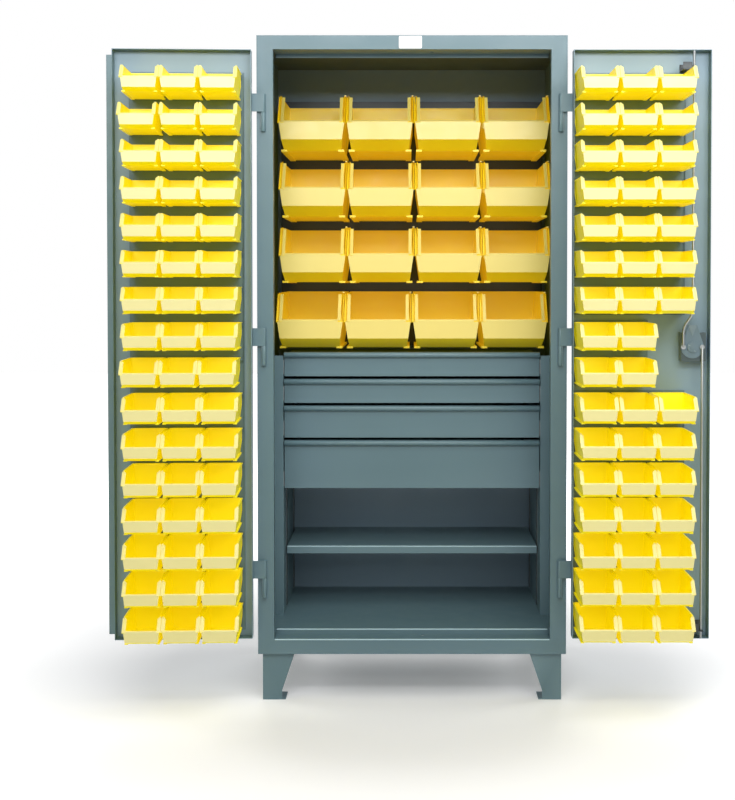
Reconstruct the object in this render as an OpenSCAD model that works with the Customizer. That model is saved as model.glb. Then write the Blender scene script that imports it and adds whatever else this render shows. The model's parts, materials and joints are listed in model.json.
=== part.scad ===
// Parts bin cabinet: a welded sheet steel cabinet on four legs, with two doors that swing open
// flat, hopper bins hung on louvred panels, four full-width drawers and one adjustable shelf.
// Millimetres. +Z is up, the front faces -Y, and the origin is on the ground at the middle of
// the four anchor holes. It is drawn with the doors open and the latch drawn back.

/* [Cabinet body] */
// Width of the body
body_w = 914.4; // [900:1:1000]
// Depth of the body
body_d = 609.6; // [600:1:700]
// Height of the body above its legs
body_h = 1828.8; // [1820:1:1960]
// Thickness of the body's sheet steel
body_sheet = 2.66; // [1.5:0.01:3]
// Height of the header above the door opening
header_h = 41.3; // [36:0.1:48]
// Height of the sill below the door opening
sill_h = 44.5; // [36:0.1:48]
// Width of the front post at each side of the opening
post_w = 48; // [44:0.5:48.5]
// Depth of the header's underside, back to its stop flange
header_return = 84; // [70:1:100]
// Height of the stop flange that hangs behind the header
stop_flange = 11; // [6:0.5:14]
// Distance from the front to the step up to the floor
floor_step_y = 56; // [54:1:70]
// Height of the step from the sill up to the floor
floor_step_h = 16; // [10:0.5:16]
// Width of the turned-in flanges round the bottom of the body
base_flange = 40; // [25:1:60]

/* [Legs] */
// Height of the legs
leg_h = 139.7; // [100:1:200]
// Thickness of the legs' steel
leg_sheet = 3; // [2:0.1:5]
// Width of each side of a leg at its top
leg_top_w = 94; // [80:1:120]
// Width of each side of a leg at its foot
leg_foot_w = 57; // [50:1:70]
// Height of the straight stretch above the foot
leg_straight = 27; // [15:1:45]
// Distance from the body's outer faces to the legs
leg_inset = 12.7; // [0:0.1:20]
// How far the foot plate reaches past the leg
foot_lip = 11; // [5:1:15]
// Distance from the leg's outer corner to the anchor hole
anchor_inset = 36; // [30:1:40]
// Diameter of the anchor holes
anchor_d = 14; // [10:0.5:18]

/* [Large bins] */
// Room between the large bins and the body at each side
large_side_room = 30.54; // [28:0.01:36]
// Gap between large bins side by side
large_gap = 2.4; // [2:0.1:6]
// Height of a large bin
large_h = 177.8; // [170:0.1:185]
// Length of a large bin
large_l = 374.7; // [360:0.1:376]
// Height of a large bin's front lip
large_lip = 88; // [75:1:100]
// Height of the slanted foot of a large bin's front
large_slant_h = 33; // [20:1:45]
// Depth of the slanted foot of a large bin's front
large_slant_d = 59; // [40:1:75]
// How far the posts of a large bin lean back
large_lean = 60; // [40:1:80]
// Width of the bands on the posts of a large bin
large_band = 19; // [12:0.5:24]
// How much narrower each side of a large bin is at its base
large_taper = 15.5; // [8:0.5:18]
// Wall of a large bin
large_wall = 3; // [2:0.1:4]
// Distance between rows of large bins
large_pitch_z = 206.2; // [200:0.1:212]
// Room between the topmost large bins and the header
large_top_room = 94.8; // [88:0.1:110]
// Depth of the louvred panel behind the large bins
back_panel_depth = 18.04; // [15:0.01:20]

/* [Small bins] */
// Gap between small bins side by side
small_gap = 3.8; // [3:0.1:10]
// Height of a small bin
small_h = 76.2; // [70:0.1:80]
// Length of a small bin
small_l = 187.3; // [170:0.1:190]
// Height of a small bin's front lip
small_lip = 40; // [34:0.5:46]
// Height of the slanted foot of a small bin's front
small_slant_h = 10.5; // [8:0.5:16]
// Depth of the slanted foot of a small bin's front
small_slant_d = 20; // [12:1:28]
// How far the posts of a small bin lean back
small_lean = 25; // [15:1:35]
// Width of the bands on the posts of a small bin
small_band = 12.5; // [8:0.5:15]
// How much narrower each side of a small bin is at its base
small_taper = 8; // [4:0.5:10]
// Wall of a small bin
small_wall = 2; // [1.5:0.1:3]
// Room between the lowest small bins and the door's lower edge
small_low_room = 24.8; // [16:0.1:35]
// Room between the topmost small bins and the door's upper edge
small_top_room = 68.3; // [60:0.1:80]

/* [Louvred panels] */
// Thickness of the louvred panels
louvre_sheet = 1.2; // [0.9:0.1:1.5]
// How far a louvre stands out from its panel
louvre_out = 7; // [6:0.1:7.5]
// Height of a louvre
louvre_h = 16; // [12:0.5:20]
// Height of the straight lip at the top of a louvre
louvre_lip = 5; // [4:0.5:6]
// Part of a bin's width that its louvre takes
louvre_share = 0.84; // [0.6:0.01:0.9]

/* [Doors] */
// Distance from the body's side to the hinge axis
hinge_inset = 20.2; // [16:0.1:24]
// Distance from the hinge axis to the door's hinge edge
hinge_to_door = 32; // [30:0.5:36]
// Gap between the closed doors
door_gap = 10; // [6:0.5:14]
// Gap between the doors and the header
door_top_gap = 9.7; // [6:0.1:12]
// Gap between the doors and the sill
door_bottom_gap = 16; // [12:0.1:18]
// Depth of the doors' flanges
door_depth = 38.2; // [30:0.1:38.4]
// Thickness of the doors' sheet steel
door_sheet = 1.9; // [1.2:0.1:2.7]
// Angle by which the left door stands short of lying flat
left_ajar = 2.5; // [0:0.5:10]
// Distance of the left door's bins from its hinge edge
left_bins_u = 29; // [24:1:34]
// Distance of the right door's bins from its hinge edge
right_bins_u = 3.5; // [3:0.5:10]
// Width of the strip beside the right door's bins, where the latch rods run
rod_strip = 74.5; // [72:0.5:90]
// How far the astragal reaches past the left door's free edge
astragal_out = 15; // [12:0.5:15]
// How much shorter than the door the astragal is at each end
astragal_short = 19; // [10:1:30]

/* [Hinges] */
// Diameter of the hinge barrels
barrel_d = 13.5; // [12:0.1:13.5]
// Diameter of the hinge pins
pin_d = 8; // [6:0.1:9]
// Height of each door knuckle
knuckle_h = 52.5; // [40:0.5:60]
// Height of each barrel on the frame
barrel_h = 57.5; // [45:0.5:65]
// Height of the top of the lowest hinge above the door's lower edge
hinge_low = 220.8; // [200:0.1:240]
// Distance of the top of the highest hinge below the door's upper edge
hinge_high = 121.5; // [100:0.5:150]
// Width of the door leaf that is welded over the door's edge
leaf_weld = 25; // [12:1:30]

/* [Latch] */
// Height of the latch's spindle above the bins beside it
latch_lift = 4.4; // [0:0.1:10]
// Distance of the spindle from the right door's free edge
latch_edge = 54; // [52:0.5:56]
// Distance from the spindle to each rod's pivot
crank_r = 27.4; // [24:0.1:28]
// Diameter of the latch rods
rod_d = 7; // [6:0.1:7]
// How far a locked rod reaches past the door
rod_throw = 22; // [20:0.5:22.5]
// Length of the latch cam's nose
nose_l = 64; // [60:0.5:64]
// Length of the outside handle's grip
grip_l = 104; // [90:1:106]

/* [Drawers] */
// Gap between the drawers' faces and each side of the door opening
drawer_side_gap = 10.7; // [9:0.1:20]
// Heights of the drawers' faces, top first
drawer_h = [75, 75, 100, 150];
// Gap between the drawers and the bins above them
drawers_top_gap = 10.6; // [9:0.1:16]
// Gap between drawers
drawer_gap = 8.5; // [5:0.5:10]
// Height of the rolled pull along the top of a drawer
pull_h = 16.6; // [14:0.1:18]
// How far the rolled pull stands out from the face
pull_out = 14; // [12:0.5:14]
// Thickness of the drawers' sheet steel
drawer_sheet = 1.2; // [0.9:0.1:1.6]
// Length of the drawers' boxes and slides
slide_l = 350; // [330:1:370]
// Room between the slides and the back of the cabinet
slide_back_room = 33.74; // [30:0.01:36]
// Room for a slide at each side of a drawer
slide_room = 19.5; // [19:0.1:22]
// Height of a slide's outer member
slide_h = 44; // [40:1:46]
// Thickness of the slides' steel
slide_sheet = 1.6; // [1.2:0.1:1.8]

/* [Housing and shelf] */
// Gap between the drawers' faces and the housing
housing_gap = 3; // [2:0.5:5]
// Thickness of the housing's sheet steel
housing_sheet = 2; // [1.5:0.1:3]
// Distance of the housing's deck below the top of the drawers
deck_drop = 10.4; // [10:0.1:13]
// Height of the top of the shelf above the floor
shelf_lift = 205.8; // [180:0.1:240]
// Thickness of the shelf's edge
shelf_h = 24; // [18:1:32]
// Distance of the shelf's front edge from the cabinet's front
shelf_front_y = 280; // [260:1:300]
// Thickness of the shelf's sheet steel
shelf_sheet = 1.5; // [1:0.1:2]
// Gap between the shelf and the housing
shelf_gap = 4.5; // [4:0.5:6]
// Width of the slotted standards that carry the shelf
standard_w = 25; // [20:1:30]
// Distance between the slots of the standards
slot_pitch = 38; // [25:1:50]

/* [Hidden] */

paint = [0.36, 0.44, 0.49];
yellow = [0.93, 0.68, 0.08];
zinc = [0.72, 0.73, 0.74];
dark_steel = [0.2, 0.2, 0.21];
round_fn = 48;
cut = 1;                       // how far a cutting shape reaches past what it cuts
run_gap = 0.3;                 // clearance between pieces that move past each other
pin_gap = 0.05;                // clearance round a hinge pin or spindle

// Body
half_w = body_w / 2;
inner_x = half_w - body_sheet;
back_y = body_d - body_sheet;
roof_z = leg_h + body_h;
open_x = half_w - post_w;
open_low = leg_h + sill_h;
open_high = roof_z - header_h;
floor_z = open_low + floor_step_h;
post_return = 30;

// Doors, in their own frame: u runs from the hinge edge, v from the outer skin to the inside
hinge_x = half_w - hinge_inset;
hinge_y = -7;
skin_gap = 0.25;               // how far the closed doors stand proud of the frame
skin_y = 2 * hinge_y + skin_gap;
door_x = hinge_x + hinge_to_door;
door_w = hinge_x - hinge_to_door - door_gap / 2;
door_low = open_low + door_bottom_gap;
door_high = open_high - door_top_gap;
leaf_sheet = 3;
hinge_first = door_low + hinge_low;
hinge_pitch = (door_high - hinge_high - hinge_first) / 2;
hinge_tops = [for (i = [0:2]) hinge_first + i * hinge_pitch];

// Bins and louvres
hook_l = 5.8;                  // how far a bin's hook reaches past its back wall
hook_wall = 2.5;
hook_drop = louvre_lip;
hook_gap = 2.2;                // room between a bin's hook and its panel
door_rows = 16;
upper_rows = 7;                // rows of the right door above its narrow panel
middle_rows = 2;
upper_set = [1:upper_rows];
middle_set = [upper_rows + 1:upper_rows + middle_rows];
lower_set = [upper_rows + middle_rows + 1:door_rows];
panel_margin = 6;
louvre_room = 16;              // how much wider a louvre is than a bin's hook
panel_standoff = 3;
small_rear_v = door_sheet + panel_standoff + louvre_sheet + hook_gap;
back_panel_y = back_y - back_panel_depth;
large_front_y = back_panel_y - hook_gap - large_l;
large_pitch_x = (inner_x - large_side_room) / 2;
large_w = large_pitch_x - large_gap;
large_base_z = open_high - large_top_room - large_h - 3 * large_pitch_z;
small_pitch_x = (door_w - rod_strip - right_bins_u + small_gap) / 3;
small_w = small_pitch_x - small_gap;
small_base_z = door_low + small_low_room;
small_pitch_z = (door_high - small_top_room - small_h - small_base_z) / (door_rows - 1);
row_shift = [6, 9, 9, 0];      // the rows of large bins don't hang quite in line
// How far small bins hang off their places, by row, for each column
left_shift = [[2, [0, 0, 7.5]], [9, [5, 5, 5]]];
right_shift = [[10, [0, 3, 5]]];

// Latch
latch_u = door_w - latch_edge;
latch_z = small_row_z(upper_rows + 1) + latch_lift;
lower_rod_u = latch_u + crank_r;
plate_v = door_depth;          // back of the latch's bracket plate
plate_t = 2.5;
cam_v = plate_v + plate_t + 0.8;
cam_t = 2.5;
rod_v = cam_v + cam_t + 1 + rod_d / 2;
spindle_d = 10;
closed_rod_y = rod_v - skin_gap;
upper_rod_x = 2 * hinge_x - (door_x + latch_u);
lower_rod_x = 2 * hinge_x - (door_x + lower_rod_u);
guide_h = 22;
rod_hole_room = 4;             // play of the rods in the holes they lock into

weld_w = 8;
pin_cap = 7;                   // metal left beyond each end of a hinge pin
tang_w = 7;
bracket_out = 32;
bracket_in = 40;
bracket_h = 84;
escutcheon_w = 40;
escutcheon_h = 150;
escutcheon_t = 2.5;
grip_v = 14;                   // distance of the grip's bar from the door
grip_t = 12;
grip_w = 18;
grip_boss_d = 26;
boss_d = 31;
boss_t = 4;
cam_r = 33;
nose_w = 26;
nose_t = 1;
nose_tangent = 25;
eye_r = 7;
eye_t = 4;
bend_angle = 40;
bend_r = crank_r / (2 - 2 * cos(bend_angle));
guide_w = 33;

// Drawers
clip_t = 2;
clip_l = 14;
drawer_w = 2 * (open_x - drawer_side_gap);
drawers_top = large_base_z - drawers_top_gap;
drawer_face_y = back_y - slide_back_room - slide_l - drawer_sheet;
housing_top = drawers_top - deck_drop;
shelf_z = floor_z + shelf_lift;
slide_gap = 0.8;
slide_reach = 11;
housing_x = drawer_w / 2 + housing_gap;
box_x = housing_x - slide_room;
box_y = drawer_face_y + drawer_sheet;
box_low = 3;
box_top = 20;
slide_lift = 4;                // height of the slides above the bottoms of the drawers' boxes
function drawer_top(i) = i == 0 ? drawers_top : drawer_top(i - 1) - drawer_h[i - 1] - drawer_gap;
function slide_z(i) = drawer_top(i) - drawer_h[i] + box_low + slide_lift + slide_h / 2;

// ---- Placing ----

// Children are drawn with y measured from the body's front face
module from_front() { translate([0, -body_d / 2, 0]) children(); }

// Children are drawn in the u, v, z frame of the right door, lying open
module on_right_door() {
    from_front() translate([door_x, skin_y, 0]) mirror([0, 1, 0]) children();
}

// The same for the left door, which stands a little short of flat
module on_left_door() {
    from_front() translate([-hinge_x, hinge_y, 0]) rotate([0, 0, left_ajar])
        translate([hinge_x - door_x, skin_y - hinge_y, 0]) rotate([0, 0, 180]) children();
}

module both_sides() { children(); mirror([1, 0, 0]) children(); }

// An outline of x and z, run along y
module along_y(y0, y1) {
    translate([0, y1, 0]) rotate([90, 0, 0]) linear_extrude(y1 - y0) children();
}

// An outline of y and z, run along x
module along_x(x0, x1) {
    translate([x0, 0, 0]) rotate([90, 0, 90]) linear_extrude(x1 - x0) children();
}

// A block between two corners
module block(low, high) { translate(low) cube(high - low); }

// ---- Body ----

module front_frame() {
    color(paint) from_front() difference() {
        union() {
            difference() {
                block([-half_w, 0, leg_h], [half_w, body_sheet, roof_z]);
                block([-open_x, -cut, open_low], [open_x, body_sheet + cut, open_high]);
            }
            both_sides() block([open_x, 0, open_low - body_sheet],
                [open_x + body_sheet, post_return, open_high + body_sheet]);
            block([-open_x, 0, open_high], [open_x, header_return, open_high + body_sheet]);
            block([-open_x, header_return - body_sheet, open_high - stop_flange],
                [open_x, header_return, open_high + body_sheet]);
            block([-open_x, 0, open_low - body_sheet], [open_x, floor_step_y, open_low]);
            block([base_flange - inner_x, 0, leg_h],
                [inner_x - base_flange, base_flange, leg_h + body_sheet]);
        }
        for (place = [[upper_rod_x, open_high], [lower_rod_x, open_low - body_sheet]])
            translate([place[0], closed_rod_y, place[1] - cut])
                cylinder(d = rod_d + rod_hole_room, h = body_sheet + 2 * cut, $fn = round_fn);
    }
}

module side_panel() {
    color(paint) from_front() along_y(body_sheet, back_y)
        polygon([[inner_x - base_flange, leg_h], [half_w, leg_h], [half_w, roof_z],
            [inner_x, roof_z], [inner_x, leg_h + body_sheet],
            [inner_x - base_flange, leg_h + body_sheet]]);
}
module side_panel_right() { side_panel(); }
module side_panel_left() { mirror([1, 0, 0]) side_panel(); }

module top_panel() {
    color(paint) from_front()
        block([-inner_x, body_sheet, roof_z - body_sheet], [inner_x, back_y, roof_z]);
}

module back_panel() {
    color(paint) from_front() union() {
        block([-half_w, back_y, leg_h], [half_w, body_d, roof_z]);
        block([base_flange - inner_x, back_y - base_flange, leg_h],
            [inner_x - base_flange, back_y, leg_h + body_sheet]);
    }
}

module floor_pan() {
    color(paint) from_front() along_x(-inner_x, inner_x)
        polygon([[floor_step_y, open_low - body_sheet], [floor_step_y + body_sheet, open_low - body_sheet],
            [floor_step_y + body_sheet, floor_z - body_sheet], [back_y, floor_z - body_sheet],
            [back_y, floor_z], [floor_step_y, floor_z]]);
}

// ---- Legs ----

module leg_side() {
    polygon([[0, leg_sheet], [leg_foot_w, leg_sheet], [leg_foot_w, leg_straight],
        [leg_top_w, leg_h - leg_sheet], [0, leg_h - leg_sheet]]);
}

// A leg with its outer corner at the origin, reaching towards +X and +Y
module leg() {
    foot = leg_foot_w + foot_lip;
    color(paint) union() {
        along_y(0, leg_sheet) leg_side();
        along_x(0, leg_sheet) leg_side();
        block([0, 0, leg_h - leg_sheet], [leg_top_w, leg_top_w, leg_h]);
        difference() {
            cube([foot, foot, leg_sheet]);
            translate([anchor_inset, anchor_inset, -cut])
                cylinder(d = anchor_d, h = leg_sheet + 2 * cut, $fn = round_fn);
        }
    }
}
module leg_at_corner() { translate([leg_inset - half_w, leg_inset - body_d / 2, 0]) leg(); }
module leg_front_left() { leg_at_corner(); }
module leg_front_right() { mirror([1, 0, 0]) leg_at_corner(); }
module leg_back_left() { mirror([0, 1, 0]) leg_at_corner(); }
module leg_back_right() { mirror([1, 0, 0]) mirror([0, 1, 0]) leg_at_corner(); }

// ---- Hopper bins ----

// A bin with its front lip at y = 0 and its base at z = 0, centred on x = 0
module hopper_bin(w, h, l, lip, slant_h, slant_d, lean, band, taper, wall) {
    rear = l - hook_l;
    post = h - wall;
    rail = 0.75 * taper;
    union() {
        difference() {
            intersection() {
                along_x(-w / 2, w / 2) polygon([[slant_d, 0], [rear, 0], [rear, h], [lean, post],
                    [0, lip], [0, slant_h]]);
                along_y(0, rear) polygon([[taper - w / 2, 0], [w / 2 - taper, 0], [w / 2, lip],
                    [w / 2, h], [-w / 2, h], [-w / 2, lip]]);
            }
            intersection() {
                along_x(-w / 2, w / 2) polygon([[slant_d + wall / 2, wall], [rear - wall, wall],
                    [rear - wall, h + cut], [wall, h + cut], [wall, slant_h + wall / 2]]);
                along_y(0, rear) polygon([[taper + wall - w / 2, wall], [w / 2 - taper - wall, wall],
                    [w / 2 - wall, lip + wall / 2], [w / 2 - wall, h + cut], [wall - w / 2, h + cut],
                    [wall - w / 2, lip + wall / 2]]);
            }
        }
        both_sides() along_x(w / 2 - band, w / 2)
            polygon([[0, lip], [lean, post], [lean + wall, post - wall], [wall, lip - wall]]);
        both_sides() block([w / 2 - taper - wall, slant_d, 0], [w / 2 - taper + rail, rear, rail]);
        along_x(-w / 2 * louvre_share, w / 2 * louvre_share)
            polygon([[rear - wall, h], [rear - wall, h - hook_wall], [l - hook_wall, h - hook_wall],
                [l - hook_wall, h - hook_wall - hook_drop], [l, h - hook_wall - hook_drop], [l, h]]);
    }
}

module large_bin() {
    hopper_bin(large_w, large_h, large_l, large_lip, large_slant_h, large_slant_d, large_lean,
        large_band, large_taper, large_wall);
}

module small_bin() {
    hopper_bin(small_w, small_h, small_l, small_lip, small_slant_h, small_slant_d, small_lean,
        small_band, small_taper, small_wall);
}

function large_row_z(row) = large_base_z + (4 - row) * large_pitch_z;
function small_row_z(row) = small_base_z + (door_rows - row) * small_pitch_z;
function shift_of(shifts, row, i) = max([0, for (entry = shifts) if (entry[0] == row) entry[1][i]]);

module back_bins_row(row) {
    color(yellow) from_front() for (i = [0:3])
        translate([(i - 1.5) * large_pitch_x + row_shift[row - 1], large_front_y, large_row_z(row)])
            large_bin();
}

// Small bins on a door, in its u, v, z frame
module small_bins(first_u, rows, count, shifts = []) {
    color(yellow) for (row = rows, i = [0:count - 1])
        translate([first_u + small_w / 2 + i * small_pitch_x + shift_of(shifts, row, i),
            small_rear_v + small_l, small_row_z(row)])
            mirror([0, 1, 0]) small_bin();
}

// ---- Louvred panels ----

// One louvre, centred on x = 0 with the top of its lip at z = 0, on a panel whose face is y = 0
module louvre(w) {
    out = -louvre_out;
    along_x(-w / 2, w / 2) polygon([[0, -louvre_h], [out, -louvre_lip], [out, 0],
        [out + louvre_sheet, 0], [out + louvre_sheet, -louvre_lip],
        [louvre_sheet, 1.2 * louvre_sheet - louvre_h], [louvre_sheet, -louvre_h]]);
    both_sides() along_x(w / 2, w / 2 + louvre_sheet)
        polygon([[0, -louvre_h], [out, -louvre_lip], [out, 0], [0, 0]]);
}

// A panel from x0 to x1 and z0 to z1, its face at y = 0 and its edges turned back by depth
module louvred_panel(x0, x1, z0, z1, depth, xs, zs, w) {
    color(paint) union() {
        difference() {
            block([x0, 0, z0], [x1, depth, z1]);
            block([x0 + louvre_sheet, louvre_sheet, z0 + louvre_sheet],
                [x1 - louvre_sheet, depth + cut, z1 - louvre_sheet]);
            for (x = xs, z = zs)
                block([x - w / 2, -cut, z - louvre_h], [x + w / 2, louvre_sheet + cut, z]);
        }
        for (x = xs, z = zs) translate([x, 0, z]) louvre(w);
    }
}

module louvre_panel_back() {
    bottom = large_base_z - panel_margin;
    top = large_row_z(1) + large_h + 4 * panel_margin;
    half = 2 * large_pitch_x + 3 * panel_margin;
    from_front() translate([0, back_panel_y, 0])
        louvred_panel(-half, half, bottom, top, back_y - back_panel_y,
            [for (i = [0:3]) (i - 1.5) * large_pitch_x + row_shift[0]],
            [for (row = [1:4]) large_row_z(row) + large_h - hook_wall],
            large_w * louvre_share + louvre_room);
}

// A panel on a door for some rows and columns of small bins, in the door's u, v, z frame
module small_louvres(first_u, rows, count) {
    first = rows[0];
    last = rows[2];
    span = (count - 1) * small_pitch_x + small_w;
    translate([0, door_sheet + panel_standoff + louvre_sheet, 0]) mirror([0, 1, 0])
        louvred_panel(max(door_sheet, first_u - panel_margin), first_u + span + panel_margin,
            small_row_z(last) - panel_margin, small_row_z(first) + small_h + panel_margin,
            louvre_sheet + panel_standoff,
            [for (i = [0:count - 1]) first_u + small_w / 2 + i * small_pitch_x],
            [for (row = rows) small_row_z(row) + small_h - hook_wall],
            small_w * louvre_share + louvre_room);
}

// ---- Doors ----

module door_pan() {
    color(paint) difference() {
        block([0, 0, door_low], [door_w, door_depth, door_high]);
        block([door_sheet, door_sheet, door_low + door_sheet],
            [door_w - door_sheet, door_depth + cut, door_high - door_sheet]);
    }
}
module left_door_pan() { on_left_door() door_pan(); }
module right_door_pan() {
    on_right_door() difference() { door_pan(); spindle_hole(-cut, door_sheet + cut); }
}

module left_astragal() {
    color(paint) on_left_door()
        block([door_w - door_sheet, door_depth, door_low + astragal_short],
            [door_w + astragal_out, door_depth + body_sheet, door_high - astragal_short]);
}

module left_louvre_panel() { on_left_door() small_louvres(left_bins_u, [1:door_rows], 3); }
module right_louvre_upper() { on_right_door() small_louvres(right_bins_u, upper_set, 3); }
module right_louvre_middle() { on_right_door() small_louvres(right_bins_u, middle_set, 2); }
module right_louvre_lower() { on_right_door() small_louvres(right_bins_u, lower_set, 3); }

module left_bins(group) {
    on_left_door() small_bins(left_bins_u, [4 * group - 3:4 * group], 3, left_shift);
}
module right_bins_upper() { on_right_door() small_bins(right_bins_u, upper_set, 3); }
module right_bins_middle() { on_right_door() small_bins(right_bins_u, middle_set, 2); }
module right_bins_lower() { on_right_door() small_bins(right_bins_u, lower_set, 3, right_shift); }

// ---- Hinges ----

// The door's half of a hinge, in the door's u, v, z frame
module hinge_leaf(top) {
    axis_v = skin_y - hinge_y;
    color(paint) difference() {
        union() {
            translate([-hinge_to_door, axis_v, top - knuckle_h])
                cylinder(d = barrel_d, h = knuckle_h, $fn = round_fn);
            block([-hinge_to_door, -leaf_sheet, top - knuckle_h], [leaf_weld, 0, top]);
        }
        translate([-hinge_to_door, axis_v, top - knuckle_h - cut])
            cylinder(d = pin_d + 2 * pin_gap, h = knuckle_h - pin_cap + cut, $fn = round_fn);
    }
}
module left_hinge_leaves() { on_left_door() for (top = hinge_tops) hinge_leaf(top); }
module right_hinge_leaves() { on_right_door() for (top = hinge_tops) hinge_leaf(top); }

// The half of each hinge that is welded to the frame
module hinge_barrels() {
    color(paint) from_front() both_sides() for (top = hinge_tops)
        translate([hinge_x, hinge_y, top - knuckle_h - run_gap - barrel_h]) difference() {
            union() {
                cylinder(d = barrel_d, h = barrel_h, $fn = round_fn);
                block([-weld_w / 2, 0, 0], [weld_w / 2, -hinge_y, barrel_h]);
            }
            translate([0, 0, pin_cap])
                cylinder(d = pin_d, h = barrel_h - pin_cap + cut, $fn = round_fn);
        }
}

module hinge_pins() {
    length = barrel_h + run_gap + knuckle_h - 2 * pin_cap - 1;
    color(zinc) from_front() both_sides() for (top = hinge_tops)
        translate([hinge_x, hinge_y, top - knuckle_h - run_gap - barrel_h + pin_cap])
            cylinder(d = pin_d, h = length, $fn = round_fn);
}

// ---- Latch, in the right door's u, v, z frame ----

// A round bar or bore along v at the spindle
module spindle_rod(d, v0, v1) {
    translate([latch_u, v0, latch_z]) rotate([-90, 0, 0])
        cylinder(d = d, h = v1 - v0, $fn = round_fn);
}
module spindle_hole(v0, v1) { spindle_rod(spindle_d + 2 * pin_gap, v0, v1); }
module spindle_tang(v0, v1) {
    block([latch_u - tang_w / 2, v0, latch_z - tang_w / 2],
        [latch_u + tang_w / 2, v1, latch_z + tang_w / 2]);
}

module latch_bracket() {
    color(paint) on_right_door() difference() {
        block([latch_u - bracket_out, door_sheet, latch_z - bracket_h / 2],
            [latch_u + bracket_in, plate_v + plate_t, latch_z + bracket_h / 2]);
        block([latch_u - bracket_out + plate_t, 0, latch_z - bracket_h],
            [latch_u + bracket_in - plate_t, plate_v, latch_z + bracket_h]);
        spindle_hole(plate_v - cut, plate_v + plate_t + cut);
    }
}

module handle_escutcheon() {
    color(zinc) on_right_door() difference() {
        block([latch_u - escutcheon_w / 2, -escutcheon_t, latch_z - escutcheon_h / 2],
            [latch_u + escutcheon_w / 2, 0, latch_z + escutcheon_h / 2]);
        spindle_hole(-escutcheon_t - cut, cut);
    }
}

module latch_spindle() {
    color(zinc) on_right_door() union() {
        spindle_tang(-grip_v, -escutcheon_t - run_gap);
        spindle_rod(spindle_d, -escutcheon_t - run_gap, cam_v);
        spindle_tang(cam_v, cam_v + cam_t);
        spindle_rod(boss_d, cam_v + cam_t, cam_v + cam_t + boss_t);
        spindle_rod(boss_d / 2, cam_v + cam_t + boss_t, cam_v + cam_t + boss_t + 1);
    }
}

// The grip outside the door: a boss and a crosswise bar with round ends
module handle_grip() {
    color(dark_steel) on_right_door() difference() {
        union() {
            spindle_rod(grip_boss_d, -grip_v, -escutcheon_t - run_gap);
            translate([latch_u, -grip_v, latch_z]) rotate([90, 0, 0]) linear_extrude(grip_t) union() {
                square([grip_l - grip_w, grip_w], center = true);
                for (side = [-1, 1]) translate([side * (grip_l - grip_w) / 2, 0])
                    circle(d = grip_w, $fn = round_fn);
            }
        }
        spindle_tang(-grip_v, 0);
    }
}

// The cam: a round plate with a tapered nose, which points up while the latch is drawn back
module latch_cam() {
    color(zinc) on_right_door() union() {
        difference() {
            along_v(cam_v, cam_v + cam_t) union() {
                circle(r = cam_r, $fn = round_fn);
                polygon([[-cam_r * cos(nose_tangent), cam_r * sin(nose_tangent)],
                    [-nose_w / 2, nose_l], [nose_w / 2, nose_l],
                    [cam_r * cos(nose_tangent), cam_r * sin(nose_tangent)]]);
            }
            spindle_tang(cam_v - cut, cam_v + cam_t + cut);
        }
        for (side = [-1, 1]) along_v(cam_v + cam_t, rod_v - rod_d / 2 - run_gap)
            translate([side * crank_r, 0]) circle(d = pin_d, $fn = round_fn);
        along_v(cam_v + cam_t, cam_v + cam_t + nose_t)
            polygon([[0, nose_l / 2], [-nose_w / 2, nose_l], [nose_w / 2, nose_l]]);
    }
}

// An outline round the spindle, run along v
module along_v(v0, v1) {
    translate([latch_u, v1, latch_z]) rotate([90, 0, 0]) linear_extrude(v1 - v0) children();
}

// A straight stretch of rod from z0 to z1
module rod_run(u, z0, z1) {
    translate([u, rod_v, z0]) cylinder(d = rod_d, h = z1 - z0, $fn = round_fn);
}

// A bend of a rod round u and z, from angle a
module rod_bend(u, z, a) {
    translate([u, rod_v, z]) rotate([90, 0, 0]) rotate([0, 0, a])
        rotate_extrude(angle = bend_angle, $fn = 2 * round_fn) translate([bend_r, 0])
            circle(d = rod_d, $fn = round_fn);
}

// The slight swelling where a bend meets the next stretch
module rod_swelling(u, z) { translate([u, rod_v, z]) sphere(d = rod_d + 0.4, $fn = round_fn); }

// The flat eye of a rod, over its pivot on the cam
module rod_eye(u) {
    translate([u, rod_v - eye_t / 2, latch_z]) rotate([-90, 0, 0])
        cylinder(r = eye_r, h = eye_t, $fn = round_fn);
}

module upper_rod() {
    pivot_u = latch_u - crank_r;
    z0 = latch_z + 1.4 * crank_r;
    z1 = z0 + 2 * bend_r * sin(bend_angle);
    color(zinc) on_right_door() union() {
        rod_eye(pivot_u);
        rod_run(pivot_u, latch_z, z0);
        rod_bend(pivot_u + bend_r, z0, 180 - bend_angle);
        rod_bend(latch_u - bend_r, z1, -bend_angle);
        rod_swelling(pivot_u, z0);
        rod_swelling(latch_u - crank_r / 2, (z0 + z1) / 2);
        rod_swelling(latch_u, z1);
        rod_run(latch_u, z1, door_high + rod_throw - crank_r);
    }
}

module lower_rod() {
    color(zinc) on_right_door() union() {
        rod_eye(lower_rod_u);
        rod_run(lower_rod_u, door_low - rod_throw + crank_r, latch_z);
    }
}

// A bent bracket that guides a rod: a foot on the door, a bored shelf and a front flange
module rod_guide(u, z) {
    difference() {
        union() {
            block([u - guide_w, door_sheet, z], [u + eye_r, door_sheet + plate_t, z + guide_h]);
            block([u - guide_w, door_sheet, z], [u + eye_r, rod_v + eye_r, z + plate_t]);
            block([u - guide_w, rod_v + eye_r - plate_t, z], [u - rod_d, rod_v + eye_r, z + guide_h]);
        }
        translate([u, rod_v, z - cut])
            cylinder(d = rod_d + 2 * run_gap, h = plate_t + 2 * cut, $fn = round_fn);
    }
}

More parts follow.
